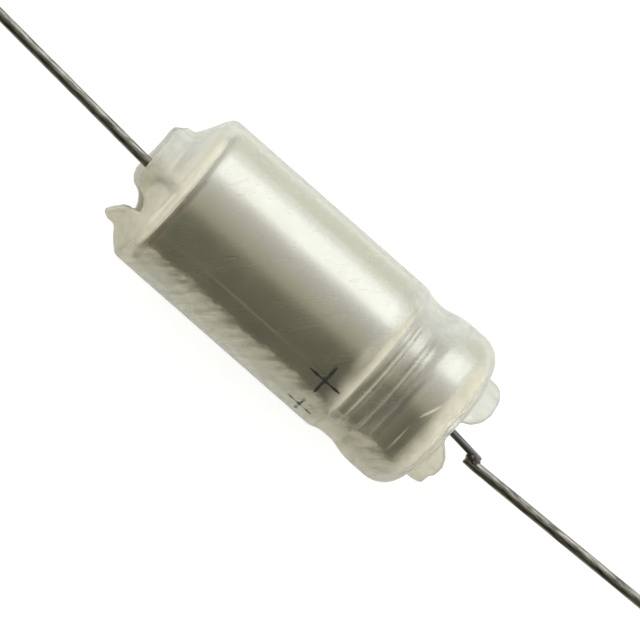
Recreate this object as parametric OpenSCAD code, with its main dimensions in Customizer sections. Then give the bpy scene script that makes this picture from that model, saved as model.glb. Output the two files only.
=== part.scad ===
// Axial wet-slug tantalum capacitor: a drawn silver case with a rolled neck and a crimped rim,
// closed by an elastomer seal and sheathed in a shrunk, translucent insulating sleeve.
// +X runs along the axis towards the positive end, and the part lies on the plane z = 0.
// "Along" is a distance in millimetres from the closed base of the case, towards +X.

/* [Case] */
// Outside diameter of the case barrel
case_d = 9.53; // [8.8:0.01:12]
// Length of the case from its closed base to its crimped rim
case_len = 19.7; // [16:0.01:28]
// Thickness of the drawn wall
case_wall = 0.4; // [0.25:0.01:0.5]
// Outside corner radius of the closed base
base_corner = 0.6; // [0.55:0.05:1.2]
// Outside radius of the bend where the rim is crimped over
rim_bend = 1.3; // [1:0.05:1.6]
// How far the crimped lip reaches in from that bend
lip_reach = 0.7; // [0.3:0.05:1.2]
// How far the bulge behind the rim stands out past the barrel
bulge_rise = 0.07; // [0:0.01:0.2]

/* [Neck] */
// Length of the bulge, from the top of the neck's last step to the rim
bulge_len = 2.65; // [2.2:0.05:3.5]
// Length of the step from the barrel down into the neck
shoulder_w = 0.7; // [0.5:0.02:1]
// Length of the step from the neck up to the bulge
bulge_step_w = 0.65; // [0.55:0.02:1]
// Depth of the neck below the barrel
neck_depth = 0.43; // [0.3:0.01:0.5]
// Width of each of the two beads in the neck
bead_w = 0.6; // [0.45:0.02:0.8]
// Height of the beads above the floor of the neck
bead_h = 0.2; // [0.1:0.01:0.22]
// Distance between the crests of the beads
bead_pitch = 1.05; // [0.85:0.05:1.5]
// Flat floor between the second bead and the step to the bulge
last_flat = 0.1; // [0.02:0.02:0.6]

/* [Insulating sleeve] */
// Thickness of the sleeve
sleeve_wall = 0.37; // [0.2:0.01:0.5]
// Film of air between the case and the sleeve
sleeve_gap = 0.02; // [0.01:0.01:0.1]
// How far past the edge of the neck the sleeve starts to sag
sag_lag = 0.08; // [0.05:0.01:0.2]
// Length over which the sleeve sags to the first bead
sag_len = 1.1; // [0.9:0.05:1.3]
// How far past the bulge's edge the sleeve is back at full diameter
climb_over = 0.4; // [0.2:0.05:0.6]
// Outside radius of the drawn-in collar past the base
neg_collar_r = 3.45; // [2.8:0.05:3.9]
// How far that collar overhangs the base
neg_overhang = 2.69; // [2.4:0.01:4]
// Straight length of the sleeve past the base, before it draws in
neg_straight = 0.15; // [0:0.05:0.4]
// Radius of the sleeve's shoulder past the base
neg_shoulder = 0.7; // [0.5:0.05:1]
// Steepness of its cone, in degrees
neg_cone = 55; // [40:1:70]
// Radius of the hollow where the cone runs into the collar
neg_hollow = 0.4; // [0.2:0.05:0.6]
// Outside radius of the drawn-in collar past the rim
pos_collar_r = 3.6; // [3:0.05:3.9]
// How far that collar overhangs the rim between its lobes
pos_overhang = 0.57; // [0.5:0.01:1]
// Radius of the hollow where the sleeve leaves the rim
pos_hollow = 0.3; // [0.2:0.05:0.5]

/* [Lead wires] */
// Diameter of both tinned nickel leads
lead_d = 0.64; // [0.5:0.01:0.8]
// Length of each lead, from the end of the case to its cut tip
lead_len = 26.67; // [15:0.01:60]
// Lean of the negative lead towards +Y, in degrees
neg_lean = 3.75; // [0:0.25:5]
// Lean of the positive lead towards +Y, in degrees
pos_lean = 1.87; // [0:0.01:5]
// Sideways place of the negative lead's weld on the base
neg_weld_y = -0.16; // [-0.5:0.02:0.5]
// Radius of the nail head that is welded to the base
head_r = 0.8; // [0.6:0.02:1.2]
// Thickness of the nail head at its edge
head_t = 0.16; // [0.1:0.02:0.3]
// Radius of the weld at the foot of the wire, on the nail head
weld_r = 0.6; // [0.4:0.02:0.6]
// Length over which the weld tapers to the wire
weld_len = 0.4; // [0.2:0.05:0.8]

/* [Anode] */
// Diameter of the sintered tantalum slug
slug_d = 6.9; // [5.5:0.05:7.6]
// Diameter of the tantalum riser wire
riser_d = 0.45; // [0.3:0.01:0.6]
// How deep the riser is sintered into the slug
riser_embed = 2.6; // [1:0.1:5]
// How far the riser stands out past the rim
riser_out = 3.2; // [2.6:0.05:5]
// Bend of the riser towards -Y outside the seal, in degrees
riser_lean = 5.5; // [1:0.5:8]
// Length of the lap weld between the riser and the positive lead
lap_len = 0.95; // [0.6:0.05:2]
// How deep the tip of the riser is fused into the positive lead
lap_bite = 0.16; // [0.05:0.01:0.2]
// Bend of the lapped foot of the lead towards -Y, in degrees
lap_lean = 1.5; // [1:0.5:4]

/* [Seal and spacers] */
// Thickness of the floor of the spacer in the base
foot_floor = 0.85; // [0.5:0.05:1.5]
// Height of the fingers that hold the foot of the slug
finger_h = 1.4; // [0.8:0.1:2.5]
// Number of fingers
finger_n = 6; // [3:1:8]
// Gap between the fingers, where electrolyte reaches the slug
finger_gap = 1.3; // [0.8:0.1:2]
// Thickness of the washer over the slug
top_floor = 0.9; // [0.5:0.05:1.5]
// Depth of the recess in that washer for the head of the slug
top_recess = 0.7; // [0.3:0.05:1.2]
// Assembly clearance between the parts inside the case
fit = 0.02; // [0.01:0.01:0.05]

/* [Hidden] */
$fn = 96;

case_r = case_d / 2;
bore_r = case_r - case_wall;
bulge_r = case_r + bulge_rise;
rim_centre_r = bulge_r - rim_bend;
lip_r = rim_centre_r - lip_reach;
lead_r = lead_d / 2;
riser_r = riser_d / 2;
slug_r = slug_d / 2;
axis_h = bulge_r + sleeve_gap + sleeve_wall;
cut_h = 2 * axis_h;
cut_len = case_len + lead_len;
overshoot = 1;

// The neck runs back from the bulge: shoulder, two beads, a flat and the step up
neck_end = case_len - bulge_len;
floor_end = neck_end - bulge_step_w;
bead_2 = floor_end - last_flat - bead_w / 2;
bead_1 = bead_2 - bead_pitch;
floor_start = bead_1 - bead_w / 2;
neck_start = floor_start - shoulder_w;
floor_r = case_r - neck_depth;
bead_r = floor_r + bead_h;

// The stack inside the case, in order from the base
inside = case_wall + fit;
foot_top = inside + foot_floor;
slug_at = foot_top + fit;
top_end = neck_start - case_wall;
slug_end = top_end - top_floor - fit;
seal_end = floor_end + bulge_step_w / 2;
bushing_start = seal_end + fit;
riser_start = slug_end - riser_embed;
riser_hole = riser_r + fit;

// A bend in an outline is [centre, radius, from, to]: a bulge has a radius above zero and a
// hollow one below it. From and to are the directions of the outward normal, where 0 points
// away from the axis and 90 along it. Moving the surface in by d only changes the radius.
bend_step = 7.5;
chord_error = 0.002;
function bend_points(bend, d) =
    let (r = max(chord_error, abs(bend[1] - d)), step = min(bend_step, 2 * acos(1 - chord_error / r)),
         n = max(1, ceil(abs(bend[3] - bend[2]) / step)))
    [for (i = [0:n]) let (q = bend[2] + (bend[3] - bend[2]) * i / n)
        bend[0] + (bend[1] - d) * [cos(q), sin(q)]];
function outline(bends, d) = [for (b = bends) for (p = bend_points(b, d)) p];

// Two bends that carry the surface smoothly from one point to another, each [radius, along].
// Bulge_share is the part of the step that the bulging bend takes, so a small one gives a
// sharp edge above a long hollow.
neck_share = 0.35;
sag_share = 0.16;
climb_share = 0.78;
function step(from, to, bulge_share) =
    let (rise = abs(to[0] - from[0]), run = to[1] - from[1],
         both = (run * run + rise * rise) / (2 * rise), q = asin(run / both),
         bulge = both * bulge_share, hollow = both - bulge)
    to[0] < from[0]
        ? [[from - [bulge, 0], bulge, 0, q], [to + [hollow, 0], -hollow, q, 0]]
        : [[from + [hollow, 0], -hollow, 0, -q], [to - [bulge, 0], bulge, -q, 0]];

// The outside of the silver case, from the middle of its base to the crimped rim
case_bends = concat(
    [[[case_r - base_corner, base_corner], base_corner, -90, 0]],
    step([case_r, neck_start], [floor_r, floor_start], neck_share),
    [for (at = [bead_1, bead_2]) for (b = concat(
        step([floor_r, at - bead_w / 2], [bead_r, at], neck_share),
        step([bead_r, at], [floor_r, at + bead_w / 2], neck_share))) b],
    step([floor_r, floor_end], [bulge_r, neck_end], neck_share),
    [[[rim_centre_r, case_len - rim_bend], rim_bend, 0, 90]]);

// The inside of its wall. The beads stand on the outside only, and each step of the neck is
// moved along so that the wall keeps its thickness where it slopes.
neck_shift = case_wall * 0.75;
neck_bore_r = floor_r - case_wall;
bore_bends = concat(
    [[[case_r - base_corner, base_corner], base_corner - case_wall, -90, 0]],
    step([bore_r, neck_start - neck_shift], [neck_bore_r, floor_start - neck_shift], neck_share),
    step([neck_bore_r, floor_end + neck_shift], [bulge_r - case_wall, neck_end + neck_shift], neck_share),
    [[[rim_centre_r, case_len - rim_bend], rim_bend - case_wall, 0, 90]]);

// Flat half-sections: all that lies within the case, and within its bore but for a gap
module within_case() { polygon(concat([[0, 0]], outline(case_bends, 0), [[0, case_len]])); }
module within_bore(gap) {
    polygon(concat([[0, case_wall + gap]], outline(bore_bends, gap), [[0, case_len - case_wall - gap]]));
}

// A band of the half-section, from an inside radius outwards
module band(r, from, to) { translate([r, from]) square([axis_h, to - from]); }

// The outside of the sleeve over the case. It spans the neck from the first bead to the bulge.
sleeve_r = case_r + sleeve_gap + sleeve_wall;
sag_from = neck_start + sag_lag;
span_r = bead_r + sleeve_gap + sleeve_wall;
neg_shoulder_c = [sleeve_r - neg_shoulder, -neg_straight];
neg_draw = neg_collar_r + neg_hollow - neg_shoulder_c[0];
neg_hollow_c = [neg_collar_r + neg_hollow,
    -neg_straight - (neg_shoulder + neg_hollow - neg_draw * cos(neg_cone)) / sin(neg_cone)];
pos_shoulder = rim_bend + sleeve_gap + sleeve_wall;
// Where the collar is narrow, the sleeve lies flat on the rim before it turns out again
pos_draw = max(0, pos_collar_r + pos_hollow - rim_centre_r);
pos_reach = sqrt(pow(pos_shoulder + pos_hollow, 2) - pow(pos_draw, 2));
pos_turn = atan2(pos_reach, pos_draw);
sleeve_bends = concat(
    [[neg_hollow_c, -neg_hollow, 0, -neg_cone], [neg_shoulder_c, neg_shoulder, -neg_cone, 0]],
    step([sleeve_r, sag_from], [span_r, sag_from + sag_len], sag_share),
    step([span_r, bead_1 + bead_w], [axis_h, neck_end + climb_over], climb_share),
    [[[rim_centre_r, case_len - rim_bend], pos_shoulder, 0, pos_turn],
     [[pos_collar_r + pos_hollow, case_len - rim_bend + pos_reach], -pos_hollow, pos_turn, 0]]);

// The positive collar ends in round lobes: [past the rim, sideways, radius]
pos_lobes = [[0.55, 1.75, 1], [0.3, 2.75, 1.4], [0.45, -2, 1.05], [0.35, -2.95, 1]];
// Round bites out of the negative collar: [past its mouth, sideways, radius]
neg_bites = [[-0.4, -2.2, 0.72], [0.41, -1.75, 0.95], [0.41, 3.6, 1.1]];
// Smaller bites out of the underside of either collar: [along, sideways, radius]
low_bites = [[-neg_overhang, 0.9, 0.55], [case_len + pos_overhang + 0.9, 1.3, 0.5],
             [case_len + pos_overhang + 0.8, -2.4, 0.45]];
lobe_room = 3;

module along_x() { translate([-case_len / 2, 0, axis_h]) rotate([0, 90, 0]) children(); }

// Turns a half-section about the part's axis
module turned() { along_x() rotate_extrude() children(); }

// An upright drill through both walls of a collar, or only through the lower one
module upright(at, y, r, low = false) {
    translate([at - case_len / 2, y, -overshoot])
        cylinder(h = (low ? axis_h : cut_h) + 2 * overshoot, r = r);
}

// A wire from one point to another, each [along, sideways], level with the axis
module wire(from, to, r) {
    run = to - from;
    translate([from[0] - case_len / 2, from[1], axis_h])
        rotate([0, 0, atan2(run[1], run[0])]) rotate([0, 90, 0]) cylinder(h = norm(run), r = r);
}

module case() {
    color("silver") turned() difference() {
        within_case();
        within_bore(0);
        translate([0, case_len / 2]) square([lip_r, case_len]);
    }
}

module insulating_sleeve() {
    mouth = case_len + pos_overhang + lobe_room;
    outer = outline(sleeve_bends, 0);
    inner = outline(sleeve_bends, sleeve_wall);
    color("ivory", 0.6) difference() {
        turned() polygon(concat([[neg_collar_r, -neg_overhang]], outer, [[pos_collar_r, mouth],
            [pos_collar_r - sleeve_wall, mouth]], [for (i = [len(inner) - 1:-1:0]) inner[i]],
            [[neg_collar_r - sleeve_wall, -neg_overhang]]));
        difference() {
            translate([case_len / 2 + pos_overhang, -axis_h, 0]) cube([2 * lobe_room, cut_h, cut_h]);
            for (l = pos_lobes) upright(case_len + l[0], l[1], l[2]);
        }
        for (b = neg_bites) upright(-neg_overhang - b[0], b[1], b[2]);
        for (b = low_bites) upright(b[0], b[1], b[2], true);
    }
}

neg_root = [-head_t / 2, neg_weld_y];
neg_tip = [-lead_len, neg_root[1] + (lead_len + neg_root[0]) * tan(neg_lean)];
module negative_lead() {
    color("darkgray") {
        wire(neg_root, neg_tip, lead_r);
        translate([-case_len / 2, neg_weld_y, axis_h]) rotate([0, -90, 0]) {
            cylinder(h = head_t, r = head_r);
            translate([0, 0, head_t]) cylinder(h = weld_len, r1 = weld_r, r2 = lead_r);
        }
    }
}

// The riser leaves the slug on the axis and is bent a little where it comes out of the seal
riser_bend = case_len;
riser_end = case_len + riser_out;
riser_tip = [riser_end, -riser_out * tan(riser_lean)];
// Half of all space, cut square to a lean at a point: side 0 is towards the slug, 1 away from it.
// Two wires that meet at a bend are cut so along its mitre.
module bend_side(at, lean, side) {
    translate([at[0] - case_len / 2, at[1], axis_h]) rotate([0, 0, lean])
        translate([side == 0 ? -cut_len : 0, -case_r, -case_r]) cube([cut_len, case_d, case_d]);
}
module riser_outside() {
    intersection() {
        wire([riser_bend - overshoot, overshoot * tan(riser_lean)], riser_tip, riser_r);
        bend_side([riser_bend, 0], -riser_lean / 2, 1);
    }
}
module riser_wire() {
    color("dimgray") {
        intersection() {
            wire([riser_start, 0], [riser_bend + overshoot, 0], riser_r);
            bend_side([riser_bend, 0], -riser_lean / 2, 0);
        }
        riser_outside();
    }
}

// The foot of the positive lead is lapped against the riser, which is fused into its side. Its
// free stretch starts at the tip of the riser.
foot_way = [1, -tan(lap_lean)];
free_way = [1, tan(pos_lean)];
pos_free = [riser_end, riser_tip[1] - riser_r - lead_r + lap_bite];
pos_root = pos_free - lap_len * foot_way;
pos_tip = pos_free + (lead_len - riser_out) * free_way;
module positive_lead() {
    pos_bend = (pos_lean - lap_lean) / 2;
    color("darkgray") difference() {
        union() {
            intersection() {
                wire(pos_root, pos_free + overshoot * foot_way, lead_r);
                bend_side(pos_free, pos_bend, 0);
            }
            intersection() {
                wire(pos_free - overshoot * free_way, pos_tip, lead_r);
                bend_side(pos_free, pos_bend, 1);
            }
        }
        riser_outside();
    }
}

slug_chamfer = 0.2;
module anode_slug() {
    color("dimgray") turned() difference() {
        polygon([[0, slug_at], [slug_r - slug_chamfer, slug_at], [slug_r, slug_at + slug_chamfer],
            [slug_r, slug_end - slug_chamfer], [slug_r - slug_chamfer, slug_end], [0, slug_end]]);
        translate([0, riser_start]) square([riser_r, riser_embed + overshoot]);
    }
}

// A dished foot with fingers round the slug and gaps between them for the electrolyte
finger_top = foot_top + finger_h;
module slug_spacer_foot() {
    color("white") difference() {
        turned() difference() {
            intersection() {
                within_bore(fit);
                band(0, 0, finger_top);
            }
            translate([0, foot_top]) square([slug_r + fit, case_len]);
        }
        for (i = [0:finger_n - 1]) along_x() rotate(i * 360 / finger_n)
            translate([0, -finger_gap / 2, foot_top]) cube([case_r, finger_gap, finger_h + overshoot]);
    }
}

// A washer that centres the head of the slug and lets the riser through
module slug_spacer_top() {
    color("white") turned() difference() {
        intersection() {
            within_bore(fit);
            band(riser_hole, slug_end - top_recess, top_end);
        }
        translate([0, slug_end - case_len + fit]) square([slug_r + fit, case_len]);
    }
}

// The seal is squeezed to the inside of the neck, so it takes the shape of the beads
module elastomer_seal() {
    color([0.12, 0.12, 0.12]) turned() intersection() {
        within_bore(fit);
        band(riser_hole, top_end + fit, seal_end);
    }
}

// A rigid plug in the bulge, held by the crimped lip
module end_bushing() {
    color("white") turned() intersection() {
        within_bore(fit);
        band(riser_hole, bushing_start, case_len);
    }
}

// The gel fills the ring between the slug and the case
module electrolyte_gel() {
    color("khaki") turned() intersection() {
        within_bore(fit);
        band(slug_r + fit, finger_top + fit, slug_end - top_recess - fit);
    }
}

case();
insulating_sleeve();
negative_lead();
positive_lead();
riser_wire();
anode_slug();
slug_spacer_foot();
slug_spacer_top();
elastomer_seal();
end_bushing();
electrolyte_gel();
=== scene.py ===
import math

import bmesh
import bpy
import numpy as np
from mathutils import Matrix, Vector


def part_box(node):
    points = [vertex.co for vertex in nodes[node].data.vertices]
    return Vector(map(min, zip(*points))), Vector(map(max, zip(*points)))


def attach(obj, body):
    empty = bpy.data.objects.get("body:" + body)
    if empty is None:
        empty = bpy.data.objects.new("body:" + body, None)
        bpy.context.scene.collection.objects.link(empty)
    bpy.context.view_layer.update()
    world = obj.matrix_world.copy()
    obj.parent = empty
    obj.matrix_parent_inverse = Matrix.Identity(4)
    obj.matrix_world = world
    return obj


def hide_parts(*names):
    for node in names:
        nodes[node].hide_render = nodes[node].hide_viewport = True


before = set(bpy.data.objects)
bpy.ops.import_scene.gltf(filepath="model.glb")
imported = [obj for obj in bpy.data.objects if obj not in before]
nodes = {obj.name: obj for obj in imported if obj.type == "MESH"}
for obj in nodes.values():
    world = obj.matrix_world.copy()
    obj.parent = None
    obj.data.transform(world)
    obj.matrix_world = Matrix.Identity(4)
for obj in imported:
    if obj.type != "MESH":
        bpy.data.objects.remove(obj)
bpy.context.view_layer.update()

caseLow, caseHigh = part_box("case")
mm = 0.001
axisHeight = (caseLow.z + caseHigh.z) / 2 / mm
baseX = caseLow.x / mm  # closed end of the case, in millimetres
rimX = caseHigh.x / mm  # crimped end
halfSpan = 13.0  # lengthwise patterns are given between this and its negative
print("frame loaded, axis", round(axisHeight, 3), "mm above the floor")


# small helpers
def hexToLinear(code):
    parts = [int(code[i : i + 2], 16) / 255 for i in (0, 2, 4)]
    return tuple(c / 12.92 if c <= 0.04045 else ((c + 0.055) / 1.055) ** 2.4 for c in parts) + (1.0,)


def addNode(tree, kind, settings=None, links=None, stops=()):
    # settings: attributes or socket values by name or number; links: socket -> another node, for its
    # first output, or one of its outputs; stops: (place, colour) from left to right, for a ramp
    node = tree.nodes.new("ShaderNode" + kind)
    for place, colour in stops[1:-1]:
        node.color_ramp.elements.new(place).color = colour
    if stops:
        ends = node.color_ramp.elements[0], node.color_ramp.elements[-1]
        for end, (place, colour) in zip(ends, (stops[0], stops[-1])):
            end.position = place
            end.color = colour
    for key, value in (settings or {}).items():
        if isinstance(key, str) and hasattr(node, key):
            setattr(node, key, value)
        else:
            node.inputs[key].default_value = value
    for key, source in (links or {}).items():
        tree.links.new(source.outputs[0] if hasattr(source, "outputs") else source, node.inputs[key])
    return node


def newMaterial(name):
    material = bpy.data.materials.new(name)
    material.use_nodes = True
    tree = material.node_tree
    tree.nodes.clear()
    return material, tree, addNode(tree, "OutputMaterial")


def grey(value):
    return (value, value, value, 1)


def smooth(value, low, high):
    t = np.clip((np.asarray(value, float) - low) / (high - low), 0, 1)
    return t * t * (3 - 2 * t)


def meshObject(name, points, faces, material, sharpAngle=40):
    mesh = bpy.data.meshes.new(name)
    mesh.from_pydata([tuple(p) for p in np.asarray(points) * mm], [], faces)
    mesh.validate()
    # every closed skin faces outwards
    skin = bmesh.new()
    skin.from_mesh(mesh)
    bmesh.ops.recalc_face_normals(skin, faces=skin.faces)
    skin.to_mesh(mesh)
    skin.free()
    mesh.polygons.foreach_set("use_smooth", [True] * len(mesh.polygons))
    mesh.set_sharp_from_angle(angle=math.radians(sharpAngle))
    mesh.materials.append(material)
    mesh.update()
    piece = bpy.data.objects.new(name, mesh)
    bpy.context.scene.collection.objects.link(piece)
    return piece


def gridFaces(rows, columns, closed=False):
    # quads of a grid whose columns run round; closed joins the last row to the first
    faces = []
    for i in range(rows if closed else rows - 1):
        low = i * columns
        high = (i + 1) % rows * columns
        for j in range(columns):
            k = (j + 1) % columns
            faces.append((low + j, low + k, high + k, high + j))
    return faces


def cappedFaces(rows, columns):
    # the same grid, with a flat face over each end
    faces = gridFaces(rows, columns)
    faces.append(tuple(range(columns - 1, -1, -1)))
    faces.append(tuple((rows - 1) * columns + j for j in range(columns)))
    return faces


def arc(centre, radius, start, end, step=5.0):
    # a bend of an outline: a bulge has a radius above zero, a hollow one below it
    count = max(2, math.ceil(abs(end - start) / step))
    angles = np.radians(np.linspace(start, end, count + 1))
    return np.asarray(centre) + radius * np.stack([np.cos(angles), np.sin(angles)], 1)


def stepBends(start, end, bulgeShare):
    # two tangent bends that carry a surface from one point to another, each (radius, along)
    start, end = np.asarray(start, float), np.asarray(end, float)
    rise, run = abs(end[0] - start[0]), end[1] - start[1]
    both = (run * run + rise * rise) / (2 * rise)
    q = math.degrees(math.asin(run / both))
    bulge, hollow = both * bulgeShare, both * (1 - bulgeShare)
    if end[0] < start[0]:
        return [(start - (bulge, 0), bulge, 0, q), (end + (hollow, 0), -hollow, q, 0)]
    return [(start + (hollow, 0), -hollow, 0, -q), (end - (bulge, 0), bulge, -q, 0)]


def rampBends(start, end, radius):
    # a straight ramp from one point to another, each (radius, along), rounded at both ends
    start, end = np.asarray(start, float), np.asarray(end, float)
    rise, run = abs(end[0] - start[0]), end[1] - start[1]
    low, high = 0.0, math.asin(min(0.98, run / (2 * radius)))
    for _ in range(40):
        q = (low + high) / 2
        reached = 2 * radius * (1 - math.cos(q)) + (run - 2 * radius * math.sin(q)) * math.tan(q)
        low, high = (q, high) if reached < rise else (low, q)
    q = math.degrees(q)
    if end[0] < start[0]:
        return [(start - (radius, 0), radius, 0, q), (end + (radius, 0), -radius, q, 0)]
    return [(start + (radius, 0), -radius, 0, -q), (end - (radius, 0), radius, -q, 0)]


def straight(start, end, count):
    # evenly spaced points from one to the other
    t = np.linspace(0, 1, count)[:, None]
    return np.asarray(start) + (np.asarray(end) - np.asarray(start)) * t


def turns(count):
    # angles of the points round a ring
    return np.linspace(0, 2 * math.pi, count, endpoint=False)


def turnedPoints(outline, columns):
    # an outline of (radius, along) turned about the part's axis
    along = np.repeat(outline[:, 1], columns)
    radius = np.repeat(outline[:, 0], columns)
    turn = np.tile(turns(columns), len(outline))
    return np.stack([along, radius * np.sin(turn), axisHeight + radius * np.cos(turn)], 1)


def anyRay(tree, *kinds):
    # 1 for a ray of one of these kinds, else 0
    path = addNode(tree, "LightPath")
    found = path.outputs[kinds[0]]
    for kind in kinds[1:]:
        found = addNode(tree, "Math", {"operation": "MAXIMUM"}, {0: found, 1: path.outputs[kind]})
    return found


def byLength(tree, place, stations):
    # a share that changes along the part: stations are (mm along, share)
    axis = addNode(tree, "SeparateXYZ", None, {"Vector": place})
    span = addNode(
        tree,
        "MapRange",
        {"From Min": -halfSpan * mm, "From Max": halfSpan * mm},
        {"Value": axis.outputs["X"]},
    )
    stops = [((x / halfSpan + 1) / 2, grey(share)) for x, share in stations]
    return addNode(tree, "ValToRGB", None, {"Fac": span}, stops)


# silver case
silver = dict(
    bright="E3E3DF",  # fine silver
    dull="D1CFC5",  # thin yellowish tarnish in patches
    brownShade="6E4F2E",  # tarnish in the corner round the closed end and in the grooves of the neck, deepened as painted shade for the dark reflections of the slopes that face the closed end
    # by millimetres along the part: share of that tarnish and painted shade
    tarnishAndShade=[
        (-9.86, 0.0), (-9.82, 0.95), (-9.54, 0.95), (-9.38, 0.0), (4.72, 0.0), (4.8, 0.9),
        (4.92, 0.5), (5.05, 0.0), (5.35, 0.2), (5.6, 0.7), (5.95, 0.9), (6.1, 0.0), (6.3, 0.5),
        (6.55, 0.7), (6.7, 0.2), (6.9, 0.5), (7.15, 0.7), (7.4, 0.0),
    ],
    litSideFade=2.2,  # mm towards +Y over which the tarnish and painted shade fade out, on the side the softbox lights
    roughness=0.27,
    scratchRoughness=0.35,
    scratch=0.32,  # spacing of the fine rubbing marks in mm, drawn coarser than real so they show
    scratchSlant=50,  # degrees from the length
    scratchLength=24,  # times their spacing
    patch=3.0,  # size of the tarnish patches in mm
)


def drawnSilver():
    # deep-drawn fine silver, tumbled: a satin mirror with slanted rubbing marks, faint tarnish, and
    # brown painted shade in the base corner and the neck's grooves
    material, tree, out = newMaterial("drawnSilver")
    place = addNode(tree, "TexCoord").outputs["Object"]
    patches = addNode(
        tree,
        "TexNoise",
        {"Scale": 1 / (silver["patch"] * mm), "Detail": 3.0, "Roughness": 0.55},
        {"Vector": place},
    )
    slant = addNode(
        tree,
        "Mapping",
        {
            "vector_type": "TEXTURE",
            "Rotation": (0, 0, math.radians(silver["scratchSlant"])),
            "Scale": (silver["scratchLength"], 1, 2),
        },
        {"Vector": place},
    )
    marks = addNode(
        tree,
        "TexNoise",
        {"Scale": 1 / (silver["scratch"] * mm), "Detail": 2.0, "Roughness": 0.5},
        {"Vector": slant},
    )
    lines = addNode(
        tree, "ValToRGB", None, {"Fac": marks}, [(0.62, grey(0)), (0.74, grey(1))]
    )
    colour = addNode(
        tree,
        "Mix",
        {"data_type": "RGBA", 6: hexToLinear(silver["dull"]), 7: hexToLinear(silver["bright"])},
        {0: patches},
    )
    axis = addNode(tree, "SeparateXYZ", None, {"Vector": place})
    uneven = addNode(
        tree,
        "MapRange",
        {"From Min": 0.35, "From Max": 0.65, "To Min": 0.5, "To Max": 1.1},
        {"Value": patches},
    )
    litSideFade = addNode(
        tree,
        "MapRange",
        {"From Min": 0.0, "From Max": silver["litSideFade"] * mm, "To Min": 1.0, "To Max": 0.1},
        {"Value": axis.outputs["Y"]},
    )
    # brown tarnish and painted shade in the base corner and the neck's grooves, patchy, fading out
    # towards the lit +Y side
    tarnishAndShade = byLength(tree, place, silver["tarnishAndShade"])
    for share in (uneven, litSideFade):
        tarnishAndShade = addNode(tree, "Math", {"operation": "MULTIPLY"}, {0: tarnishAndShade, 1: share})
    tarnishedAndShaded = addNode(
        tree,
        "Mix",
        {"data_type": "RGBA", 7: hexToLinear(silver["brownShade"])},
        {0: tarnishAndShade, 6: colour.outputs[2]},
    )
    rough = addNode(
        tree,
        "MapRange",
        {"To Min": silver["roughness"], "To Max": silver["scratchRoughness"]},
        {"Value": lines},
    )
    bump = addNode(
        tree, "Bump", {"Strength": 0.012, "Distance": 0.00001}, {"Height": lines}
    )
    shader = addNode(
        tree,
        "BsdfPrincipled",
        {"Metallic": 1.0},
        {"Base Color": tarnishedAndShaded.outputs[2], "Roughness": rough, "Normal": bump},
    )
    tree.links.new(shader.outputs[0], out.inputs["Surface"])
    return material


case = dict(
    radius=4.765,
    wall=0.4,
    baseCorner=0.6,
    bulgeRadius=4.835,
    bulgeLength=2.65,
    rimBend=1.3,
    lipReach=0.7,  # of the crimped lip, towards the axis
    stepUp=0.65,  # length of the rise from the neck's floor to the bulge
    stepRound=0.2,
    shoulder=0.7,  # length of the drop from the barrel to the neck's floor
    shoulderRound=0.15,
    neckDepth=0.43,
    beadWidth=0.6,
    beadHeight=0.2,
    beadPitch=1.05,
    beadRound=0.07,
    lastFlat=0.1,  # of the neck's floor, before the rise
    settle=0.05,  # the bends of the neck end this far past their places
    ease=0.06,  # the same for its floor and beads
    share=0.35,  # of a bend of the bore that is bulge, the rest is hollow
    boreShift=0.75,  # of the wall, from the bends of the skin to those of the bore
    flare=0.03,  # the barrel starts to draw in before the neck
    flareLength=0.7,
    flareRound=1.5,
    longest=0.9,  # stretch of the skin without a row of points
    columns=240,
)
case["rimCentre"] = (case["bulgeRadius"] - case["rimBend"], rimX - case["rimBend"])
case["neckEnd"] = rimX - case["bulgeLength"]
case["floorEnd"] = case["neckEnd"] - case["stepUp"]
case["bead2"] = case["floorEnd"] - case["lastFlat"] - case["beadWidth"] / 2
case["bead1"] = case["bead2"] - case["beadPitch"]
case["floorStart"] = case["bead1"] - case["beadWidth"] / 2
case["neckStart"] = case["floorStart"] - case["shoulder"]
case["floorRadius"] = case["radius"] - case["neckDepth"]
case["beadRadius"] = case["floorRadius"] + case["beadHeight"]


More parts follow.
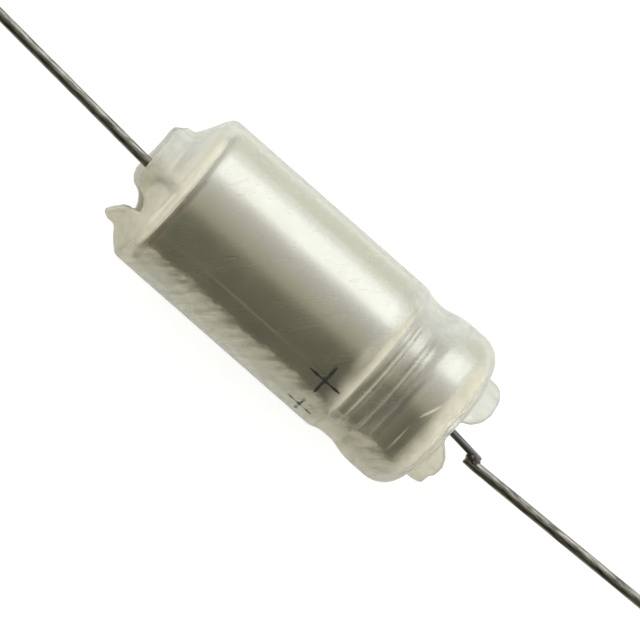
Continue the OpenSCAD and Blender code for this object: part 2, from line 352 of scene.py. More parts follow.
def buildCase():
    c = case
    half = c["beadWidth"] / 2
    share = c["share"]
    corner = (c["radius"] - c["baseCorner"], baseX + c["baseCorner"])
    outside = [(corner, c["baseCorner"], -90, 0)]
    flared = (c["radius"] - c["flare"], c["neckStart"] + c["settle"])
    outside += rampBends((c["radius"], c["neckStart"] - c["flareLength"]), flared, c["flareRound"])
    floor, bead, ease = c["floorRadius"], c["beadRadius"], c["ease"]
    outside += rampBends(flared, (floor, c["floorStart"] + ease), c["shoulderRound"])
    for at in (c["bead1"], c["bead2"]):
        outside += rampBends((floor, at - half + ease), (bead, at), c["beadRound"])
        outside += rampBends((bead, at + ease / 2), (floor, at + half), c["beadRound"])
    bulge = (c["bulgeRadius"], c["neckEnd"] + c["settle"])
    outside += rampBends((c["floorRadius"], c["floorEnd"]), bulge, c["stepRound"])
    outside += [(c["rimCentre"], c["rimBend"], 0, 90)]
    shift = c["wall"] * c["boreShift"]
    bore = c["radius"] - c["wall"]
    neckBore = c["floorRadius"] - c["wall"]
    bulgeBore = c["bulgeRadius"] - c["wall"]
    inside = [(corner, c["baseCorner"] - c["wall"], -90, 0)]
    inside += stepBends((bore, c["neckStart"] - shift), (neckBore, c["floorStart"] - shift), share)
    inside += stepBends((neckBore, c["floorEnd"] + shift), (bulgeBore, c["neckEnd"] + shift), share)
    inside += [(c["rimCentre"], c["rimBend"] - c["wall"], 0, 90)]
    skin = np.concatenate([arc(*bend) for bend in outside])
    bored = np.concatenate([arc(*bend, step=15) for bend in inside])
    lip = c["rimCentre"][0] - c["lipReach"]
    edge = arc((lip, rimX - c["wall"] / 2), c["wall"] / 2, 90, 270, 22)
    outline = np.concatenate([[(0, baseX)], skin, edge, bored[::-1], [(0, baseX + c["wall"])]])
    # long straight stretches are cut up, and doubled points left out
    points = [outline[0]]
    for a, b in zip(outline[:-1], outline[1:]):
        pieces = max(1, int(np.linalg.norm(b - a) / c["longest"]))
        points += [a + (b - a) * k / pieces for k in range(1, pieces + 1)]
    steps = np.linalg.norm(np.diff(points, axis=0), axis=1)
    ring = np.array(points)[np.concatenate([[True], steps > 1e-5])]
    columns = c["columns"]
    body = turnedPoints(ring[1:-1], columns)
    body = np.concatenate([body, [(ring[0][1], 0, axisHeight), (ring[-1][1], 0, axisHeight)]])
    faces = gridFaces(len(ring) - 2, columns)
    first, last = len(body) - 2, len(body) - 1
    rowStart = (len(ring) - 3) * columns
    for j in range(columns):
        k = (j + 1) % columns
        faces.append((first, k, j))
        faces.append((last, rowStart + j, rowStart + k))
    piece = meshObject("drawnCase", body, faces, drawnSilver(), 50)
    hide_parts("case")
    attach(piece, "root")
    print("case turned,", len(faces), "faces")


buildCase()


# shrunk sleeve
film = dict(
    clear="FBFBF6",  # heat-shrink film, yellowed a little
    # by millimetres along the part: share of light that one face scatters
    haze=[
        (-12.6, 0.34), (-11.4, 0.4), (-10.95, 0.44), (-10.4, 0.38), (-9.95, 0.12), (-9.2, 0.04),
        (3.3, 0.03), (4.0, 0.1), (4.7, 0.12), (7.1, 0.1), (8.0, 0.04), (8.75, 0.08), (9.6, 0.2),
        (10.5, 0.34), (11.6, 0.3),
    ],
    # cream rings: milk where it is stretched over an edge or bears on one, and over the neck also
    # painted reflections of the beads' bright slopes
    ring=[
        (-10.8, 0.0), (-10.45, 0.44), (-10.02, 0.62), (-9.8, 0.0), (3.3, 0.0), (3.75, 0.13),
        (4.1, 0.32), (4.45, 0.62), (4.62, 0.0), (5.02, 0.0), (5.13, 0.44), (5.28, 0.06),
        (5.42, 0.2), (5.6, 0.0), (6.06, 0.0), (6.17, 0.3), (6.36, 0.0), (6.7, 0.0), (6.84, 0.2),
        (7.1, 0.0), (8.55, 0.0), (9.2, 0.5), (9.6, 0.7), (9.95, 0.24), (10.2, 0.0),
    ],
    cream="FFFAE2",
    creamStep=2.4,  # share of the cream colour for a share of haze in a ring
    # the rings fade down both sides: middle in degrees, start, end, share at the start and the end
    ringFade=(0, 34, 62, 1.0, 0.15),
    # colour of the milk by degrees round from the top, towards -Y: painted shade, whitest towards the
    # softbox on +Y, yellower and darker round towards -Y and underneath
    milkShadedBySide=[
        (-120, "F0F0E6"),
        (-40, "F3F3EA"),
        (10, "F2ECD4"),
        (48, "F4EFD6"),
        (100, "EEEACF"),
        (150, "E6E4D4"),
    ],
    # in the collar and over the neck it is milky down both sides: millimetres along, share
    bridge=[
        (-12.6, 0.6), (-10.7, 0.68), (-10.1, 0.0), (3.1, 0.0), (4.2, 0.62), (6.8, 0.62), (8.1, 0.0)
    ],
    bridgeFade=(6, 31, 68, 0.0, 1.0),  # as ringFade, turned a little towards -Y
    # creases that catch the light: middle in mm, degrees, half length, half width, share
    creases=[
        (8.54, 0.05, 68, 1.0, 0.12, 0.8),
        (8.16, -2.4, 90, 1.3, 0.1, 0.3),
        (3.75, -0.1, 96, 2.2, 0.6, 0.3),
        (-3.0, -2.4, 0, 12.0, 0.09, 0.12),
    ],
    creaseUp=(4.5, 3),  # over the axis, half height
    # painted shade of the wire behind the milky collar, a darker smear
    wireShade=(-11.4, -0.35, 24, 1.1, 0.5),
    wireShadeUp=(3.2, 2.5),  # over the axis, half height
    wireShadeColour="A9AD98",
    # the film stood off the case along the lower side: a milky strip with slanted streaks
    stripFrom=43,  # degrees round from the top, towards -Y
    stripRagged=14,  # degrees that its border wanders
    stripShare=0.22,
    streakSlant=-46,  # degrees
    streak=0.42,  # spacing of the streaks in mm
    roughness=0.12,
    cloud=2.2,  # size of the cloudy patches in mm
    glow=0.15,  # share of the milk that lets light through
)


def bySide(tree, turned, middle, start, stop, first, last):
    # a share that goes from first to last between two angles, to either side of a middle, in degrees
    shifted = addNode(tree, "Math", {"operation": "SUBTRACT", 1: math.radians(middle)}, {0: turned})
    either = addNode(tree, "Math", {"operation": "ABSOLUTE"}, {0: shifted})
    return addNode(
        tree,
        "MapRange",
        {
            "interpolation_type": "SMOOTHSTEP",
            "From Min": math.radians(start),
            "From Max": math.radians(stop),
            "To Min": first,
            "To Max": last,
        },
        {"Value": either},
    )


def softSpot(tree, place, middle, degrees, size):
    # 1 in the middle of a long spot seen from above, and 0 at its border; middle and half sizes in mm
    spot = addNode(
        tree,
        "Mapping",
        {
            "vector_type": "TEXTURE",
            "Location": Vector(middle) * mm,
            "Rotation": (0, 0, math.radians(degrees)),
            "Scale": Vector(size) * mm,
        },
        {"Vector": place},
    )
    ball = addNode(
        tree, "TexGradient", {"gradient_type": "SPHERICAL"}, {"Vector": spot}
    )
    return ball.outputs["Fac"]


def milkWithPaintedShade(tree, place, turned, ring, clouds):
    # the milk with painted shade by angle, cream in the rings with painted reflections over the neck,
    # and the painted shade of the wire behind the collar
    around = addNode(tree, "MapRange", {"From Min": -math.pi, "From Max": math.pi}, {"Value": turned})
    # painted shade by side: the milk is whiter on the lit +Y side and darker and yellower away from
    # it
    milkShadedBySide = addNode(
        tree,
        "ValToRGB",
        None,
        {"Fac": around},
        [((degrees + 180) / 360, hexToLinear(code)) for degrees, code in film["milkShadedBySide"]],
    )
    # cream where the rings are; over the neck this is painted reflection of the beads' bright slopes
    creamShare = addNode(
        tree, "Math", {"operation": "MULTIPLY", "use_clamp": True, 1: film["creamStep"]}, {0: ring}
    )
    creamy = addNode(
        tree, "Mix", {"data_type": "RGBA", 7: hexToLinear(film["cream"])}, {0: creamShare, 6: milkShadedBySide}
    )
    # painted shade of the wire behind the collar, broken into streaks by the clouds
    x, y, degrees, length, width = film["wireShade"]
    up, deep = film["wireShadeUp"]
    streaky = addNode(
        tree, "MapRange", {"From Min": 0.3, "From Max": 0.6, "To Min": 0.2}, {"Value": clouds}
    )
    wireShadeShare = addNode(
        tree,
        "Math",
        {"operation": "MULTIPLY", "use_clamp": True},
        {
            0: softSpot(tree, place, (x, y, axisHeight + up), degrees, (length, width, deep)),
            1: streaky,
        },
    )
    wireShaded = addNode(
        tree,
        "Mix",
        {"data_type": "RGBA", 7: hexToLinear(film["wireShadeColour"])},
        {0: wireShadeShare, 6: creamy.outputs[2]},
    )
    return wireShaded.outputs[2]


def slantedStrip(tree, place, turned, clouds):
    # haze of the strip along the lower side: a ragged border, and slanted streaks
    ragged = addNode(
        tree,
        "Math",
        {"operation": "MULTIPLY_ADD", 1: math.radians(film["stripRagged"])},
        {0: clouds, 2: turned},
    )
    border = math.radians(film["stripFrom"] + film["stripRagged"] / 2)
    strip = addNode(
        tree,
        "MapRange",
        {"From Min": border - 0.02, "From Max": border + 0.02, "To Max": film["stripShare"]},
        {"Value": ragged},
    )
    slant = addNode(
        tree,
        "Mapping",
        {
            "vector_type": "TEXTURE",
            "Rotation": (0, 0, math.radians(film["streakSlant"])),
            "Scale": (1, 6, 6),
        },
        {"Vector": place},
    )
    streaks = addNode(
        tree,
        "TexNoise",
        {"Scale": 1 / (film["streak"] * mm), "Detail": 1.0, "Roughness": 0.5},
        {"Vector": slant},
    )
    combed = addNode(
        tree,
        "MapRange",
        {"From Min": 0.38, "From Max": 0.62, "To Min": 0.4, "To Max": 1.6},
        {"Value": streaks},
    )
    return addNode(tree, "Math", {"operation": "MULTIPLY"}, {0: strip, 1: combed})


def shrinkFilm():
    # clear polyester sleeving, shrunk with hot air: glossy, and cloudy where it drew in most
    material, tree, out = newMaterial("shrinkFilm")
    place = addNode(tree, "TexCoord").outputs["Object"]
    clouds = addNode(
        tree,
        "TexNoise",
        {"Scale": 1 / (film["cloud"] * mm), "Detail": 3.0, "Roughness": 0.6},
        {"Vector": place},
    )
    # angle round the axis, from the top towards -Y
    axis = addNode(tree, "SeparateXYZ", None, {"Vector": place})
    up = addNode(tree, "Math", {"operation": "SUBTRACT", 1: axisHeight * mm}, {0: axis.outputs["Z"]})
    side = addNode(tree, "Math", {"operation": "MULTIPLY", 1: -1.0}, {0: axis.outputs["Y"]})
    turned = addNode(tree, "Math", {"operation": "ARCTAN2"}, {0: side, 1: up})

    fading = []
    for key in ("ring", "bridge"):
        shares = {0: byLength(tree, place, film[key]), 1: bySide(tree, turned, *film[key + "Fade"])}
        fading.append(addNode(tree, "Math", {"operation": "MULTIPLY"}, shares))
    haze = byLength(tree, place, film["haze"])
    for other in (*fading, slantedStrip(tree, place, turned, clouds)):
        haze = addNode(tree, "Math", {"operation": "MAXIMUM"}, {0: haze, 1: other})
    mottle = addNode(
        tree,
        "MapRange",
        {"From Min": 0.3, "From Max": 0.7, "To Min": 0.65, "To Max": 1.3},
        {"Value": clouds},
    )
    haze = addNode(tree, "Math", {"operation": "MULTIPLY"}, {0: haze, 1: mottle})
    over, deep = film["creaseUp"]
    for x, y, degrees, length, width, share in film["creases"]:
        spot = softSpot(tree, place, (x, y, axisHeight + over), degrees, (length, width, deep))
        crease = addNode(tree, "Math", {"operation": "MULTIPLY", 1: share}, {0: spot})
        haze = addNode(tree, "Math", {"operation": "MAXIMUM"}, {0: haze, 1: crease})

    ripple = addNode(
        tree, "Bump", {"Strength": 0.12, "Distance": 0.00004}, {"Height": clouds}
    )
    glass = addNode(
        tree,
        "BsdfPrincipled",
        {
            "Base Color": hexToLinear(film["clear"]),
            "Roughness": film["roughness"],
            "IOR": 1.5,
            "Transmission Weight": 1.0,
        },
        {"Normal": ripple},
    )
    # lamps and soft light pass straight through, as they do through thin film
    passing = addNode(tree, "BsdfTransparent", {"Color": hexToLinear(film["clear"])})
    clearPart = addNode(
        tree,
        "MixShader",
        None,
        {0: anyRay(tree, "Is Shadow Ray", "Is Diffuse Ray"), 1: glass, 2: passing},
    )
    colour = milkWithPaintedShade(tree, place, turned, fading[0], clouds)
    skin = addNode(
        tree,
        "BsdfPrincipled",
        {"Roughness": 0.3, "IOR": 1.5},
        {"Base Color": colour, "Normal": ripple},
    )
    glowing = addNode(tree, "BsdfTranslucent", None, {"Color": colour})
    cloudy = addNode(
        tree, "MixShader", {0: film["glow"]}, {1: skin, 2: glowing}
    )
    whole = addNode(tree, "MixShader", None, {0: haze, 1: clearPart, 2: cloudy})
    tree.links.new(whole.outputs[0], out.inputs["Surface"])
    return material


sleeve = dict(
    wall=0.37,
    gap=0.02,
    sagLag=0.08,  # where it starts to draw in over the neck, past the shoulder
    sagLength=1.1,
    sagShare=0.16,  # of the bend that is bulge, the rest is hollow
    climbOver=0.4,  # where it meets the bulge, past the end of the neck
    climbShare=0.78,
    baseStraight=0.15,
    baseShoulder=0.7,  # radii of the bends past the base, and the slope between them
    baseHollow=0.4,
    baseCone=55,
    baseCollar=3.45,
    baseMouth=-13.04,
    baseShift=-0.39,  # the collar past the base was pulled over to one side
    rimHollow=0.3,
    rimCollar=3.6,
    rimMouth=12.2,
    rimShortest=10.32,
    lip=[0.0, 0.012, 0.045, 0.1, 0.185],  # rows in from a cut edge, over which it is rounded
    # puckers where the ends drew in: depth, number round, start
    basePuckers=[(0.035, 7, 0.6), (0.02, 17, 2)],
    rimPuckers=[(0.03, 9, 0.4), (0.015, 15, 0)],
    # torn edges, as (sideways, along) stations on the near wall
    baseEdge=[
        (-3.84, -12.22), (-3.7, -12.42), (-3.5, -12.27), (-3.2, -12.08), (-2.98, -11.93),
        (-2.5, -11.5), (-2.14, -11.16), (-1.85, -11.3), (-1.58, -11.65), (-1.4, -12.1),
        (-1.05, -12.38), (-0.6, -12.52), (2.2, -12.55), (2.6, -12.5), (2.85, -12.15),
        (3.06, -11.95),
    ],
    rimEdge=[
        (-3.6, 10.95), (-3.42, 11.2), (-3.0, 11.18), (-2.7, 11.36), (-2.05, 11.36), (-1.56, 11.12),
        (-1.14, 10.74), (-0.9, 10.47), (-0.6, 10.4), (0.7, 10.43), (0.95, 10.9), (1.48, 11.31),
        (2.13, 11.5), (2.61, 11.48), (3.2, 11.42), (3.45, 11.28), (3.6, 10.95),
    ],
    columns=216,
    collarRows=26,
    spacing=0.55,  # of the rows on straight stretches
)


def pairedOutline(bends, wall, spacing):
    # the outside and the inside of the wall, point for point
    outer, inner = [], []
    for centre, radius, start, end in bends:
        outPart = arc(centre, radius, start, end, 7.5)
        inPart = arc(centre, radius - wall, start, end, 7.5)
        if outer:
            count = int(np.linalg.norm(outPart[0] - outer[-1]) / spacing)
            for side, part in ((outer, outPart), (inner, inPart)):
                side += list(straight(side[-1], part[0], count + 2)[1:-1])
        outer += list(outPart)
        inner += list(inPart)
    return np.array(outer), np.array(inner)


def sleeveOutline():
    s, c = sleeve, case
    out = s["gap"] + s["wall"]
    over = c["radius"] + out
    top = c["bulgeRadius"] + out
    span = c["beadRadius"] + out
    sagFrom = c["neckStart"] + s["sagLag"]
    shoulder = (over - s["baseShoulder"], baseX - s["baseStraight"])
    draw = s["baseCollar"] + s["baseHollow"] - shoulder[0]
    cone = math.radians(s["baseCone"])
    drop = (s["baseShoulder"] + s["baseHollow"] - draw * math.cos(cone)) / math.sin(cone)
    hollow = (s["baseCollar"] + s["baseHollow"], shoulder[1] - drop)
    bend = c["rimBend"] + out
    rimDraw = s["rimCollar"] + s["rimHollow"] - c["rimCentre"][0]
    reach = math.sqrt((bend + s["rimHollow"]) ** 2 - rimDraw**2)
    turn = math.degrees(math.atan2(reach, rimDraw))
    lipCentre = (s["rimCollar"] + s["rimHollow"], c["rimCentre"][1] + reach)
    climbFrom = (span, c["bead1"] + c["beadWidth"])
    bends = [
        (hollow, -s["baseHollow"], 0, -s["baseCone"]),
        (shoulder, s["baseShoulder"], -s["baseCone"], 0),
        *stepBends((over, sagFrom), (span, sagFrom + s["sagLength"]), s["sagShare"]),
        *stepBends(climbFrom, (top, c["neckEnd"] + s["climbOver"]), s["climbShare"]),
        (c["rimCentre"], bend, 0, turn),
        (lipCentre, -s["rimHollow"], turn, 0),
    ]
    outer, inner = pairedOutline(bends, s["wall"], s["spacing"])
    collars = np.array([(s["baseCollar"], s["baseMouth"]), (s["rimCollar"], s["rimMouth"])])
    outer = np.concatenate([collars[:1], outer, collars[1:]])
    inner = np.concatenate([collars[:1] - (s["wall"], 0), inner, collars[1:] - (s["wall"], 0)])
    return outer, inner


def edgeAt(stations, y):
    stations = np.array(stations)
    return np.interp(y, stations[:, 0], stations[:, 1])


def puckered(turn, puckers):
    return sum(depth * np.sin(count * turn + start) for depth, count, start in puckers)


def buildSleeve():
    s = sleeve
    outer, inner = sleeveOutline()
    index = np.arange(len(outer), dtype=float)
    along = outer[:, 1]
    turn = turns(s["columns"])
    near = smooth(np.cos(turn), -0.15, 0.15)
    # the edges on the near wall are as listed, those on the far wall wander a little
    baseY = s["baseShift"] + s["baseCollar"] * np.sin(turn)
    baseEdge = edgeAt(s["baseEdge"], baseY) + 0.05 * np.sin(5 * turn + 1) * (1 - near)
    rimEdge = edgeAt(s["rimEdge"], s["rimCollar"] * np.sin(turn))
    rimEdge = rimEdge - 0.12 * (1 - near) * (1 + np.sin(3 * turn))
    rimEdge = np.maximum(rimEdge, s["rimShortest"])
    # each row holds the place along the outline of every column
    baseAnchor = np.interp(baseX - 0.9, along, index)
    rimAnchor = np.interp(rimX + 0.05, along, index)
    lip = np.array(s["lip"])
    lipShare = np.sqrt(1 - (1 - np.minimum(lip / (s["wall"] / 2), 1)) ** 2)
    steps = s["collarRows"]
    rows = [np.interp(baseEdge + d, along, index) for d in lip]
    first, last = rows[-1], np.interp(rimEdge - lip[-1], along, index)
    rows += [first + (baseAnchor - first) * k / steps for k in range(1, steps + 1)]
    between = (index > baseAnchor + 0.3) & (index < rimAnchor - 0.3)
    rows += [np.full(len(turn), place) for place in index[between]]
    rows += [rimAnchor + (last - rimAnchor) * k / steps for k in range(steps)]
    rows += [np.interp(rimEdge - d, along, index) for d in lip[::-1]]
    fullWall = np.ones(len(rows) - 2 * len(lip))
    shares = np.concatenate([lipShare, fullWall, lipShare[::-1]])

    def surface(skin):
        grid = []
        for row, share in zip(rows, shares):
            sides = [
                np.stack([np.interp(row, index, part[:, k]) for k in (0, 1)], 1)
                for part in (outer, inner, skin)
            ]
            middle = (sides[0] + sides[1]) / 2
            radius, x = (middle + (sides[2] - middle) * share).T
            base = 1 - smooth(x, baseX - 1.5, baseX - 0.2)
            rim = smooth(x, rimX + 0.1, rimX + 1.0)
            radius = radius + base * puckered(turn, s["basePuckers"])
            radius = radius + rim * puckered(turn, s["rimPuckers"])
            y = radius * np.sin(turn) + s["baseShift"] * base
            z = axisHeight + radius * np.cos(turn)
            grid.append(np.stack([x, y, z], 1))
        return grid

    ring = surface(outer) + surface(inner)[1:-1][::-1]
    faces = gridFaces(len(ring), s["columns"], closed=True)
    piece = meshObject("shrunkSleeve", np.concatenate(ring), faces, shrinkFilm(), 80)
    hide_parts("insulating_sleeve")
    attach(piece, "root")
    print("sleeve shrunk on,", len(faces), "faces")


buildSleeve()


# wires
wire = dict(
    nickel="B4B2AA",  # dull tin over nickel
    shade="5A5852",  # drawing dirt in the hollows
    tantalum="85858D",
    mark=0.12,  # width of the drawing marks in mm
    lead=0.32,  # radii
    riser=0.225,
    sides=40,
    wave=0.004,  # the leads aren't quite even
    negativeY=-0.16,  # where the negative lead stands on the base
    negativeLean=3.75,  # degrees that each wire leans in the level plane
    positiveLean=1.87,
    footLean=1.5,
    riserLean=5.5,
    riserStart=-0.6,  # inside the slug
    riserReach=3.2,  # past the crimped end
    riserBend=0.25,  # half the length of its bend at the crimped end
    riserKnee=0.006,  # that it has leant at the middle of that bend
    melted=(0.12, -0.0115),  # the tip of the riser that the weld took
    foot=0.76,  # length of the positive lead's foot, beside the riser
    lap=0.16,  # that the foot is pressed into the riser
    bevel=0.06,
    footBevel=0.04,
    bevelShare=0.86,
    # nail head and weld taper on the base, each (distance from it, radius)
    head=[
        (0.0, 0.74), (0.02, 0.8), (0.13, 0.8), (0.16, 0.76), (0.18, 0.6), (0.27, 0.47), (0.4, 0.38),
        (0.56, 0.33),
    ],
    dome=[(0.04, 0.215), (0.075, 0.19), (0.1, 0.15), (0.115, 0.09)],  # melted tip of the riser
)


def drawnWire(name, light, dark, roughness):
    # hot-tinned or drawn wire: dull grey metal with long drawing marks and small dark pits
    material, tree, out = newMaterial(name)
    place = addNode(tree, "TexCoord").outputs["Object"]
    stretch = addNode(
        tree, "Mapping", {"Scale": (0.12, 1.0, 1.0)}, {"Vector": place}
    )
    marks = addNode(
        tree,
        "TexNoise",
        {"Scale": 1 / (wire["mark"] * mm), "Detail": 4.0, "Roughness": 0.6},
        {"Vector": stretch},
    )
    tone = addNode(
        tree,
        "ValToRGB",
        None,
        {"Fac": marks},
        [(0.36, hexToLinear(dark)), (0.62, hexToLinear(light))],
    )
    bump = addNode(
        tree, "Bump", {"Strength": 0.5, "Distance": 0.00001}, {"Height": marks}
    )
    shader = addNode(
        tree,
        "BsdfPrincipled",
        {"Metallic": 1.0, "Roughness": roughness},
        {"Base Color": tone, "Normal": bump},
    )
    tree.links.new(shader.outputs[0], out.inputs["Surface"])
    return material


tinnedNickel = drawnWire("tinnedNickel", wire["nickel"], wire["shade"], 0.3)
drawnTantalum = drawnWire("drawnTantalum", wire["tantalum"], wire["shade"], 0.26)


def sweptPoints(path, radii, sides):
    # rings square to a level path; path is (x, y) in mm at the height of the axis
    path = np.asarray(path, float)
    ways = np.gradient(path, axis=0)
    ways /= np.linalg.norm(ways, axis=1)[:, None]
    turn = turns(sides)
    points = []
    for (x, y), (dx, dy), r in zip(path, ways, radii):
        across, up = r * np.cos(turn), r * np.sin(turn)
        points.append(np.stack([x - dy * across, y + dx * across, axisHeight + up], 1))
    return np.concatenate(points)


def sweptWire(name, path, radii, material, node):
    points = sweptPoints(path, radii, wire["sides"])
    piece = meshObject(name, points, cappedFaces(len(path), wire["sides"]), material, 35)
    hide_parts(node)
    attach(piece, "root")
    return piece


def cutEnd(path, radii, bevel, atEnd=True):
    # a sheared end: a short bevel, as side cutters leave it
    way = path[-1] - path[-2] if atEnd else path[0] - path[1]
    way = way / np.linalg.norm(way)
    tip = path[-1] if atEnd else path[0]
    inner, share = tip - way * bevel, wire["bevelShare"]
    if atEnd:
        return np.concatenate([path[:-1], [inner, tip]]), np.concatenate([radii, [radii[-1] * share]])
    return np.concatenate([[tip, inner], path[1:]]), np.concatenate([[radii[0] * share], radii])


def slope(degrees):
    return math.tan(math.radians(degrees))


def wavyRadii(count, waves):
    # never thicker than the wire
    wave = wire["wave"] * np.sin(np.linspace(0, waves, count))
    return wire["lead"] + np.minimum(wave, 0)


def buildNegativeLead():
    w = wire
    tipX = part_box("negative_lead")[0].x / mm
    root = np.array([baseX, w["negativeY"]])
    tip = (tipX + 0.02, w["negativeY"] + (baseX - tipX) * slope(w["negativeLean"]))
    path, radii = cutEnd(straight(root, tip, 60), wavyRadii(60, 40), w["bevel"])
    way = path[-1] - path[0]
    way = way / np.linalg.norm(way)
    path = np.concatenate([[root + way * d for d, _ in w["head"]], path[2:]])
    radii = np.concatenate([[r for _, r in w["head"]], radii[2:]])
    sweptWire("negativeLead", path, radii, tinnedNickel, "negative_lead")


def buildPositiveLead(riserTip):
    w = wire
    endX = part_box("positive_lead")[1].x / mm - 0.01
    free = riserTip - (0, w["riser"] + w["lead"] - w["lap"])
    foot = free - w["foot"] * np.array([1, -slope(w["footLean"])])
    end = free + (endX - free[0]) * np.array([1, slope(w["positiveLean"])])
    path = np.concatenate([straight(foot, free, 8), straight(free, end, 56)[1:]])
    path, radii = cutEnd(path, wavyRadii(len(path), 36), w["bevel"])
    path, radii = cutEnd(path, radii, w["footBevel"], atEnd=False)
    sweptWire("positiveLead", path, radii, tinnedNickel, "positive_lead")


def buildRiser(riserTip):
    w = wire
    bend = w["riserBend"]
    inside = straight((w["riserStart"], 0), (rimX - bend, 0), 24)
    outside = straight((rimX + bend, -bend * slope(w["riserLean"])), riserTip - w["melted"], 20)
    path = np.concatenate([inside, [(rimX, -w["riserKnee"])], outside])
    way = path[-1] - path[-2]
    way = way / np.linalg.norm(way)
    radii = np.concatenate([np.full(len(path), w["riser"]), [r for _, r in w["dome"]]])
    path = np.concatenate([path, [path[-1] + way * d for d, _ in w["dome"]]])
    sweptWire("riserWire", path, radii, drawnTantalum, "riser_wire")


weld = dict(
    light="6F6A62",  # bare melted metal
    dark="2B2825",  # oxide burnt on round it
    place=(12.66, -0.48),  # along, sideways, on the height of the axis
    reach=(0.46, 0.36, 0.4),
    grid=(15, 28),
)


def buildWeld():
    # the nugget where the riser was welded to the lead: lumpy, burnt dark, with bare glints
    material = drawnWire("arcWeldNugget", weld["light"], weld["dark"], 0.32)
    (along, sideways), (reachX, reachY, reachZ) = weld["place"], weld["reach"]
    rows, columns = weld["grid"]
    turn = turns(columns)
    points = []
    for rise in np.linspace(-1, 1, rows) * (math.pi / 2 - 0.12):
        lumps = 1 + 0.07 * np.sin(3 * turn + 4 * rise) + 0.05 * np.sin(5 * turn - 6 * rise + 1)
        x = along + reachX * lumps * math.cos(rise) * np.cos(turn)
        y = sideways + reachY * lumps * math.cos(rise) * np.sin(turn)
        z = axisHeight + reachZ * lumps * math.sin(rise)
        points.append(np.stack([x, y, z], 1))
    faces = cappedFaces(rows, columns)
    piece = meshObject("weldNugget", np.concatenate(points), faces, material, 60)
    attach(piece, "root")


riserTip = np.array([rimX + wire["riserReach"], -wire["riserReach"] * slope(wire["riserLean"])])
buildNegativeLead()
buildPositiveLead(riserTip)
buildRiser(riserTip)
buildWeld()
print("wires drawn and welded")


# plus marks
plus = dict(
    ink="33322D",
    arm=2.2,  # from end to end, in mm
    stroke=0.2,
    lift=0.006,  # above the film
    thickness=0.008,
    wearSize=0.35,
    pieces=28,
    # each mark: along, degrees round from the top towards -Y, size, how much is worn off
    places=[(2.93, 30.9, 1.0, 0.3), (2.89, 63.0, 0.8, 0.47)],
)


def stampInk(name, worn):
    # stamping ink on film: matt and dark, broken where it wore off
    material, tree, out = newMaterial(name)
    place = addNode(tree, "TexCoord").outputs["Object"]
    wear = addNode(
        tree,
        "TexNoise",
        {"Scale": 1 / (plus["wearSize"] * mm), "Detail": 3.0, "Roughness": 0.65},
        {"Vector": place},
    )
    cover = addNode(
        tree,
        "MapRange",
        {"From Min": worn, "From Max": worn + 0.12, "To Min": 0.12, "To Max": 0.92},
        {"Value": wear},
    )
    shader = addNode(
        tree,
        "BsdfPrincipled",
        {"Base Color": hexToLinear(plus["ink"]), "Roughness": 0.6},
        {"Alpha": cover},
    )
    tree.links.new(shader.outputs[0], out.inputs["Surface"])
    return material


def buildPlus(number, along, turned, size, worn):
    half = plus["arm"] / 2 * size
    thin = plus["stroke"] / 2
    base = case["radius"] + sleeve["gap"] + sleeve["wall"] + plus["lift"]
    points, faces = [], []

    def bar(lengthwise):
        count = plus["pieces"]
        start = len(points)
        for i in range(count + 1):
            t = -half + 2 * half * i / count
            ragged = thin * (0.75 + 0.25 * math.sin(9 * t + number))
            for side, height in ((-1, 0), (1, 0), (1, 1), (-1, 1)):
                u, v = (t, side * ragged) if lengthwise else (side * ragged, t)
                r = base + height * plus["thickness"]
                angle = math.radians(turned) + v / base
                points.append((along + u, -r * math.sin(angle), axisHeight + r * math.cos(angle)))
        for i in range(count):
            a = start + 4 * i
            for j in range(4):
                k = (j + 1) % 4
                faces.append((a + j, a + k, a + 4 + k, a + 4 + j))
        faces.append((start, start + 3, start + 2, start + 1))
        stop = start + 4 * count
        faces.append((stop, stop + 1, stop + 2, stop + 3))

    bar(True)
    bar(False)
    piece = meshObject(f"plusMark{number}", points, faces, stampInk(f"stampInk{number}", worn), 30)
    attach(piece, "root")


for number, mark in enumerate(plus["places"], 1):
    buildPlus(number, *mark)
print("marks stamped")


# inner parts, kept from the frame
def packedPart(name, light, dark, grain, roughness, metallic=0.0, bumpDepth=0.02):
    # a plain inner part: two tones at the grain size, in mm, and a bump to match
    material, tree, out = newMaterial(name)
    place = addNode(tree, "TexCoord").outputs["Object"]
    grains = addNode(
        tree,
        "TexNoise",
        {"Scale": 1 / (grain * mm), "Detail": 4.0, "Roughness": 0.6},
        {"Vector": place},
    )
    tone = addNode(
        tree,
        "ValToRGB",
        None,
        {"Fac": grains},
        [(0.35, hexToLinear(dark)), (0.65, hexToLinear(light))],
    )
    bump = addNode(
        tree, "Bump", {"Strength": 0.5, "Distance": bumpDepth * mm}, {"Height": grains}
    )
    shader = addNode(
        tree,
        "BsdfPrincipled",
        {"Roughness": roughness, "Metallic": metallic},
        {"Base Color": tone, "Normal": bump},
    )
    tree.links.new(shader.outputs[0], out.inputs["Surface"])
    return material


inner = {
    # sintered tantalum powder, anodised: a matt grey sponge
    "anode_slug": packedPart("sinteredTantalum", "55565C", "34353A", 0.12, 0.75, 0.6, 0.03),
    # turned PTFE: waxy white with faint tool marks
    "slug_spacer_foot": packedPart("turnedPtfeFoot", "EFEDE6", "DEDBD1", 0.6, 0.45),
    "slug_spacer_top": packedPart("turnedPtfeTop", "EFEDE6", "DEDBD1", 0.6, 0.45),
    "end_bushing": packedPart("turnedPtfeBushing", "E9E6DC", "D5D1C4", 0.5, 0.45),
    # moulded fluorocarbon rubber: near black, with a soft bloom
    "elastomer_seal": packedPart("mouldedRubber", "2A2A2B", "1B1B1C", 0.4, 0.6),
    # acid gel: pale straw jelly
    "electrolyte_gel": packedPart("acidGel", "D9D2A6", "C6BD8B", 0.9, 0.2, 0.0, 0.01),
}
for nodeName, material in inner.items():
    nodes[nodeName].data.materials.clear()
    nodes[nodeName].data.materials.append(material)
print("inner parts finished")


